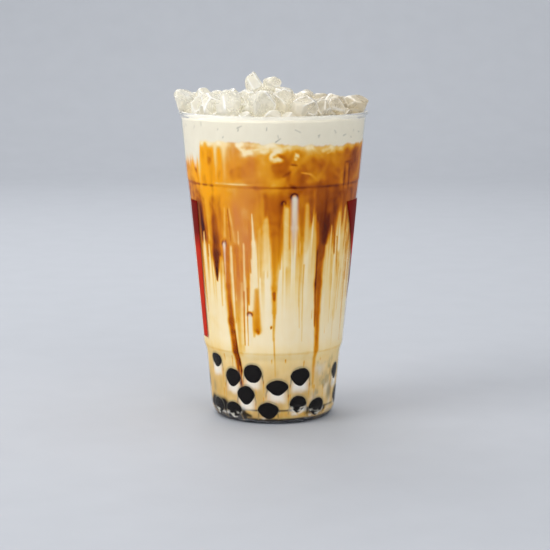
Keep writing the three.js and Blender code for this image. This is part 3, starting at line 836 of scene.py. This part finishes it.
def drinkLayer(name, lowLine, highLine, rows, material, node):
    points = [(f, 0.0) for f in drink["inward"]]
    points += [(1.0, (i / rows) ** drink["rowBias"]) for i in range(rows + 1)]
    points += [(f, 1.0) for f in reversed(drink["inward"])]
    mesh = meshFrom(name, spinProfile(points, drink["steps"]))
    co = np.empty(len(mesh.vertices) * 3)
    mesh.vertices.foreach_get("co", co)
    x, y, t = co.reshape(-1, 3).T
    share = np.hypot(x, y)
    turn = np.arctan2(x, -y)
    turn = turn - drink["crowd"] * np.sin(turn)  # more columns at the front
    angle = np.degrees(turn)
    rim = share > 0.999
    wall = np.full_like(angle, drink["lipInside"])
    low, high = lowLine(angle, wall), highLine(angle, wall)
    z = low + (high - low) * t
    radius = wallReach(z)
    inner = share * radius
    flat = np.where(t < 0.5, lowLine(angle, inner), highLine(angle, inner))
    z = np.where(rim, z, flat)
    radius = np.where(rim, radius, inner)
    co = np.stack([radius * np.sin(turn), -radius * np.cos(turn), z], 1) * mm
    mesh.vertices.foreach_set("co", co.ravel())
    for key, paint in paints.items():
        setAttribute(mesh, key, paint(angle, z))
    bm = bmesh.new()
    bm.from_mesh(mesh)
    bpy.data.meshes.remove(mesh)
    corner = rim & ((t < 1e-6) | (t > 1 - 1e-6))
    for edge in bm.edges:
        edge.smooth = not all(corner[v.index] for v in edge.verts)
    addPiece(name, bm, material, [node])


def layeredDrink():
    material, tree = startMaterial("layeredDrink")
    tone = attributeValue(tree, "tone")
    height = alongAxis(tree, 2)
    long = mapped(tree, height, 0.112, 0.122, 0.3, 0.08)
    fibres = objectNoise(tree, 330.0, (1, 1, 0.07), 3.0, 0.2)
    swirls = objectNoise(tree, 120.0, (1, 1, 0.8), 4.0, 1.4)
    grain = calc(tree, "ADD", calc(tree, "MULTIPLY", calc(tree, "SUBTRACT", fibres, 0.5), long),
                 calc(tree, "MULTIPLY", calc(tree, "SUBTRACT", swirls, 0.5), 0.4))
    tone = calc(tree, "ADD", tone, calc(tree, "MULTIPLY", grain, calc(tree, "ADD", tone, 0.16)), True)
    color = colorRamp(tree, tone, [
        (0, (254, 237, 201)), (0.12, (250, 224, 164)), (0.25, (243, 199, 106)),
        (0.4, (232, 162, 30)), (0.52, (216, 134, 4)), (0.64, (190, 99, 0)),
        (0.76, (152, 69, 0)), (0.88, (100, 28, 2)), (1, (50, 3, 8)),
    ])
    middling = calc(tree, "ABSOLUTE", calc(tree, "SUBTRACT", tone, 0.44), 0.0)
    middling = calc(tree, "SUBTRACT", 1.0, calc(tree, "MULTIPLY", middling, 4.5), True)
    gold = calc(tree, "MULTIPLY", attributeValue(tree, "gold"), middling)
    color = blendColor(tree, gold, color, linear(254, 172, 6))
    covered = mapped(tree, tone, 0.06, 0.3)
    stirred = calc(tree, "MULTIPLY", attributeValue(tree, "stirred"), covered)
    color = blendColor(tree, stirred, color, linear(214, 130, 66))
    bare = calc(tree, "SUBTRACT", 1.0, calc(tree, "MULTIPLY", tone, 1.5), True)
    tan = calc(tree, "MULTIPLY", attributeValue(tree, "tan"), bare)
    color = blendColor(tree, tan, color, linear(206, 164, 90))
    # dark syrup, with painted shade at the heel and the bottom edge
    color = blendColor(tree, attributeValue(tree, "syrupAndShade"), color, linear(22, 14, 16))
    whites = blendColor(tree, swirls, linear(245, 238, 218), linear(236, 227, 205))
    low = mapped(tree, height, 0.045, 0.036)
    whites = blendColor(tree, low, whites, linear(250, 246, 238))
    color = blendColor(tree, attributeValue(tree, "pale"), color, whites)
    color = blendColor(tree, attributeValue(tree, "specks"), color, linear(122, 120, 106))
    closeMaterial(tree, surface(tree, {
        "Base Color": color, "Roughness": 0.5, "IOR": 1.2, "Specular IOR Level": 0.2}))
    return material


drinkMaterial = layeredDrink()
drinkLayer("milkBody", floorLine, teaLine, drink["milkRows"], drinkMaterial, "milk")
drinkLayer("teaBody", teaLine, capLine, drink["teaRows"], drinkMaterial, "brown_sugar_tea")
drinkLayer("capBody", capLine, levelLine, drink["capRows"], drinkMaterial, "milk_cap")

# Ice: x, y, height of the middle, width, tallness
ice = {
    "front": [
        (-44.3, -4, 159.8, 10.4, 10.8), (-35.5, 8, 161, 8, 8.5), (-36.8, -18, 158.8, 7.5, 8),
        (-29.5, -26, 159.9, 11.4, 9.8), (-21.7, -33, 160.6, 12.2, 12), (-12.7, -24, 161.8, 9, 9),
        (-9.4, -5, 168.6, 9.4, 10.2), (-0.5, -2, 167.2, 9.4, 8), (-5.4, -36, 160.4, 14.2, 11.8),
        (5.4, -30, 161.8, 10.8, 10.8), (15.3, -17, 162, 10.5, 7.6), (15.2, -35, 159.4, 15, 9),
        (23.4, -33, 158.4, 9.5, 7), (30.5, -26, 158.2, 9.5, 7), (29, -12, 159.8, 12.5, 7.5),
        (40.8, -6, 158.4, 13, 8),
    ],
    # rings of seeded pieces: radius, first and last angle, count, height, size
    "rings": [
        (41.5, 106, 254, 9, 156.6, 11), (28.5, 68, 292, 8, 157.4, 12.4),
        (15.5, 20, 340, 5, 159, 12.6), (5.5, 60, 240, 2, 162, 11.5),
    ],
    "place": 1.3, "lift": 0.9, "size": 0.2, "lean": 0.03, "inside": 44.2, "lip": 154.65,
    "seed": 40, "cuts": 11, "cutDepth": (0.56, 0.88), "lump": 0.12, "grit": 0.03, "smooth": 3,
    "edgeTurn": 0.85, "edgeWidth": 0.05, "sink": 1.9, "sinkBelow": 162.5,
    "fine": 5, "coarse": 4, "nearRow": -22, "nearTop": 166,
    "crumbs": 54, "crumbReach": 38, "crumbHeight": 155.2, "crumbRise": 3.4,
    "rimCrumbs": 24, "rimReach": 40.5, "rimHeight": 154.0,
    "core": [(0, 148), (36, 148), (42, 151), (42, 152.2), (38, 153.2), (33, 154), (26, 155.2),
             (19, 156.6), (9, 158), (0, 158.4)],
    "coreSteps": 96, "coreRough": 1.3, "coreRoughAbove": 155.5,
}


def icePlaces():
    places = list(ice["front"])
    for r, (radius, start, stop, count, height, size) in enumerate(ice["rings"]):
        for i in range(count):
            n = r * 50 + i
            a = math.radians(start + (stop - start) * (i + spread(n, 0.2)) / (count - 1))
            out = radius + spread(n + 11, ice["place"])
            middle = height + spread(n + 23, ice["lift"]) - ice["lean"] * out * math.sin(a)
            width = size * (1 + spread(n + 37, ice["size"]))
            tall = size * (0.82 + spread(n + 53, ice["size"] / 2))
            places.append((*onCircle(out, a), middle, width, tall))
    return places


def crumbs():
    places = []
    for i in range(ice["crumbs"]):
        a = 2.4 * i + spread(i + 1200, 0.3)
        out = ice["crumbReach"] * math.sqrt((i + 0.5) / ice["crumbs"])
        size = 7.5 + 3.5 * scatter(i + 1400)
        height = ice["crumbHeight"] + ice["crumbRise"] * (1 - out / 43)
        places.append((*onCircle(out, a), height, size, size * 0.8))
    for i in range(ice["rimCrumbs"]):
        a = math.tau * (i + spread(i + 1500, 0.3)) / ice["rimCrumbs"]
        out = ice["rimReach"] + spread(i + 1600, 0.8)
        size = 7.5 + 2.5 * scatter(i + 1700)
        places.append((*onCircle(out, a), ice["rimHeight"] + spread(i + 1800, 0.8), size, 6.0))
    return places


def iceLump(seed, place, fineness):
    x, y, height, width, tall = place
    chance = random.Random(seed + ice["seed"])
    bm = bmesh.new()
    edgeLayer = bm.verts.layers.float.new("edge")
    bmesh.ops.create_icosphere(bm, subdivisions=fineness, radius=1)
    cuts = []
    for k in range(ice["cuts"]):
        normal = Vector([chance.gauss(0, 1) for axis in "xyz"]).normalized()
        cuts.append((normal, chance.uniform(*ice["cutDepth"])))
    for v in bm.verts:
        v.co *= 1 + ice["lump"] * noise.noise(v.co * 1.7 + Vector((seed * 3.7, 0, 0)))
        for normal, depth in cuts:
            over = v.co.dot(normal) - depth
            if over > 0:
                v.co -= normal * over  # chipped flat
    # edge: where two chipped faces meet, later painted as a highlight on the ice
    for v in bm.verts:
        gaps = sorted((depth - v.co.dot(normal), k) for k, (normal, depth) in enumerate(cuts))
        face = cuts[gaps[0][1]][0]
        second = next((gap for gap, k in gaps if face.dot(cuts[k][0]) < ice["edgeTurn"]), 1.0)
        v[edgeLayer] = math.exp(-(second / ice["edgeWidth"]) ** 2)
    for i in range(ice["smooth"]):
        bmesh.ops.smooth_vert(bm, verts=bm.verts, factor=0.5,
                              use_axis_x=True, use_axis_y=True, use_axis_z=True)
    for v in bm.verts:
        v.co *= 1 + ice["grit"] * noise.noise(v.co * 7 + Vector((0, seed * 5.1, 0)))
    lows = [min(v.co[k] for v in bm.verts) for k in range(3)]
    highs = [max(v.co[k] for v in bm.verts) for k in range(3)]
    deep = width * (1 + spread(seed + 0.9, ice["size"]))
    for v in bm.verts:
        part = [(v.co[k] - (lows[k] + highs[k]) / 2) / (highs[k] - lows[k]) for k in range(3)]
        # low pieces reach down into the drink
        sunk = ice["sink"] if part[2] < 0 and height < ice["sinkBelow"] else 1
        v.co = Vector((x + part[0] * width, y + part[1] * deep, height + part[2] * tall * sunk))
        if v.co.z < ice["lip"]:
            pullIn(v.co, ice["inside"])
    return bm


def iceMesh():
    bm = bmesh.new()
    edges = []
    for seed, place in enumerate(icePlaces() + crumbs()):
        near = seed < len(ice["front"]) and (place[1] < ice["nearRow"] or place[2] > ice["nearTop"])
        lump = iceLump(seed, place, ice["fine"] if near else ice["coarse"])
        edgeLayer = lump.verts.layers.float["edge"]
        edges += [v[edgeLayer] for v in lump.verts]
        joinInto(bm, lump)
    core = spinProfile(ice["core"], ice["coreSteps"])
    for v in core.verts:
        if v.co.z > ice["coreRoughAbove"]:
            v.co.z += ice["coreRough"] * noise.noise(v.co * 0.22)
    edges += [0.0] * len(core.verts)
    joinInto(bm, core)
    bmesh.ops.scale(bm, vec=(mm, mm, mm), verts=bm.verts)
    return bm, edges


def crushedIce():
    material, tree = startMaterial("crushedIce")
    cloudy = objectNoise(tree, 150.0, detail=3.0, distortion=0.6)
    edge = attributeValue(tree, "edge")
    inside = blendColor(tree, cloudy, linear(249, 247, 239), linear(238, 232, 215))
    dim = mapped(tree, alongAxis(tree, 0), -0.005, 0.045, 0.0, 0.9)  # less light at the right
    inside = blendColor(tree, dim, inside, linear(208, 195, 168))
    edgeHighlight = blendColor(tree, dim, linear(255, 254, 250), linear(226, 216, 196))
    # painted highlight along the edges of the ice
    color = blendColor(tree, edge, inside, edgeHighlight)
    clear = mapped(tree, cloudy, 0.3, 0.7, 0.7, 0.35)
    clear = calc(tree, "MULTIPLY", clear, calc(tree, "SUBTRACT", 1.0, calc(tree, "MULTIPLY", edge, 0.9)))
    rough = mapped(tree, cloudy, 0.0, 1.0, 0.15, 0.4)
    frost = objectNoise(tree, 420.0, detail=4.0, distortion=0.4)
    bump = addNode(tree, "Bump", {"Height": frost, "Strength": 0.12, "Distance": 0.001}).outputs[0]
    body = surface(tree, {
        "Base Color": color, "Roughness": rough, "IOR": 1.31, "Transmission Weight": clear,
        "Normal": bump, "Coat Weight": 0.3, "Coat Roughness": 0.08})
    closeMaterial(tree, clearForShadows(tree, body, (0.74, 0.74, 0.71, 1)))
    return material


iceShape, iceEdges = iceMesh()
icePiece = addPiece("iceHeap", iceShape, crushedIce(), ["ice"])
setAttribute(icePiece.data, "edge", iceEdges)

# Red stripes on the outside of the cup: angles of both edges at the top, then at the bottom
stripes = {
    "left": {"top": (-76, -63), "foot": (-76, -66)},
    "right": {"top": (59, 83), "foot": (109, 125)},
    "high": 111.0, "low": 41.5, "proud": 0.05, "thick": 0.04, "columns": 10, "rows": 48,
}


def stripeMesh():
    bm = bmesh.new()
    for side in ("left", "right"):
        shape = stripes[side]
        sheet = bmesh.ops.create_grid(bm, x_segments=stripes["columns"], y_segments=stripes["rows"], size=1)
        for v in sheet["verts"]:
            up = (v.co.y + 1) / 2
            across = (v.co.x + 1) / 2
            z = toward(stripes["low"], stripes["high"], up)
            start, stop = [toward(foot, head, up) for foot, head in zip(shape["foot"], shape["top"])]
            a = math.radians(toward(start, stop, across))
            out = float(outerRadius(z)) + stripes["proud"]
            v.co = Vector((*onCircle(out, a), z)) * mm
    faces = bm.faces[:]
    bmesh.ops.recalc_face_normals(bm, faces=faces)
    bmesh.ops.solidify(bm, geom=faces, thickness=stripes["thick"] * mm)
    return bm


def redInk():
    material, tree = startMaterial("redInk")
    grain = objectNoise(tree, 500.0, (1, 1, 0.2), 3.0)
    dark = mapped(tree, alongAxis(tree, 2), 0.086, 0.095)  # dark syrup shows behind the top
    red = blendColor(tree, grain, linear(208, 52, 26), linear(188, 38, 18))
    color = blendColor(tree, dark, red, linear(118, 18, 6))
    closeMaterial(tree, surface(tree, {
        "Base Color": color, "Roughness": 0.5, "IOR": 1.2, "Specular IOR Level": 0.1}))
    return material


addPiece("redStripes", stripeMesh(), redInk())

# Stage: a floor that bends up into a wall, in metres
ground = {"front": -2.2, "bendFrom": 1.1, "bend": 0.5, "top": 2.4, "left": -3, "width": 6}


def paleStage():
    bm = bmesh.new()
    back, bend = ground["bendFrom"], ground["bend"]
    line = [(ground["front"], 0), (back, 0)]
    for d in range(0, 91, 9):
        a = math.radians(d)
        line.append((back + bend * math.sin(a), bend - bend * math.cos(a)))
    line.append((back + bend, ground["top"]))
    verts = [bm.verts.new((ground["left"], y, z)) for y, z in line]
    edges = [bm.edges.new(pair) for pair in zip(verts, verts[1:])]
    moved = bmesh.ops.extrude_edge_only(bm, edges=edges)["geom"]
    pulled = [g for g in moved if isinstance(g, bmesh.types.BMVert)]
    bmesh.ops.translate(bm, vec=(ground["width"], 0, 0), verts=pulled)
    bmesh.ops.remove_doubles(bm, verts=bm.verts, dist=1e-5)
    material, tree = startMaterial("paleStage")
    grain = objectNoise(tree, 40.0, detail=4.0)
    color = blendColor(tree, grain, linear(186, 189, 195), linear(180, 183, 189))
    closeMaterial(tree, surface(tree, {"Base Color": color, "Roughness": 0.7}))
    stage = objectFrom("stage", bm, material)


paleStage()

# Lights: name, place, aim, size, power
lights = [
    ("keyLight", (-1.15, -0.6, 0.85), (0, 0, 0.09), (0.8, 0.8), 10.5),
    ("fillLight", (0.7, -1.2, 0.7), (0, 0, 0.09), (0.9, 0.9), 4.7),
    ("backLight", (-0.3, 0.8, 1.0), (0, 0, 0.14), (0.9, 0.5), 5),
    ("wallLight", (0, 0.2, 1.6), (0, 1.4, 0.5), (1.6, 0.6), 7),
]
for name, place, aim, size, power in lights:
    lamp = bpy.data.lights.new(name, "AREA")
    lamp.shape = "RECTANGLE"
    lamp.size, lamp.size_y = size
    lamp.energy = power
    holder = bpy.data.objects.new(name, lamp)
    holder.location = place
    holder.rotation_euler = (Vector(aim) - Vector(place)).to_track_quat("-Z", "Y").to_euler()
    scene.collection.objects.link(holder)

room = {"color": (0.96, 0.98, 1.0, 1), "strength": 0.64}
world = bpy.data.worlds.new("softRoom")
scene.world = world
world.use_nodes = True
background = world.node_tree.nodes["Background"]
background.inputs[0].default_value = room["color"]
background.inputs[1].default_value = room["strength"]
print("stage and lights set")

shot = {"lens": 122.46, "sensor": 36, "place": (0.00085, -0.9378, 0.2206), "down": 9.075}
view = bpy.data.cameras.new("photoView")
view.lens = shot["lens"]
view.sensor_width = shot["sensor"]
camera = bpy.data.objects.new("photoView", view)
camera.location = shot["place"]
camera.rotation_euler = (math.radians(90 - shot["down"]), 0, 0)
scene.collection.objects.link(camera)
bpy.context.scene.camera = camera
scene.view_settings.view_transform = "Standard"
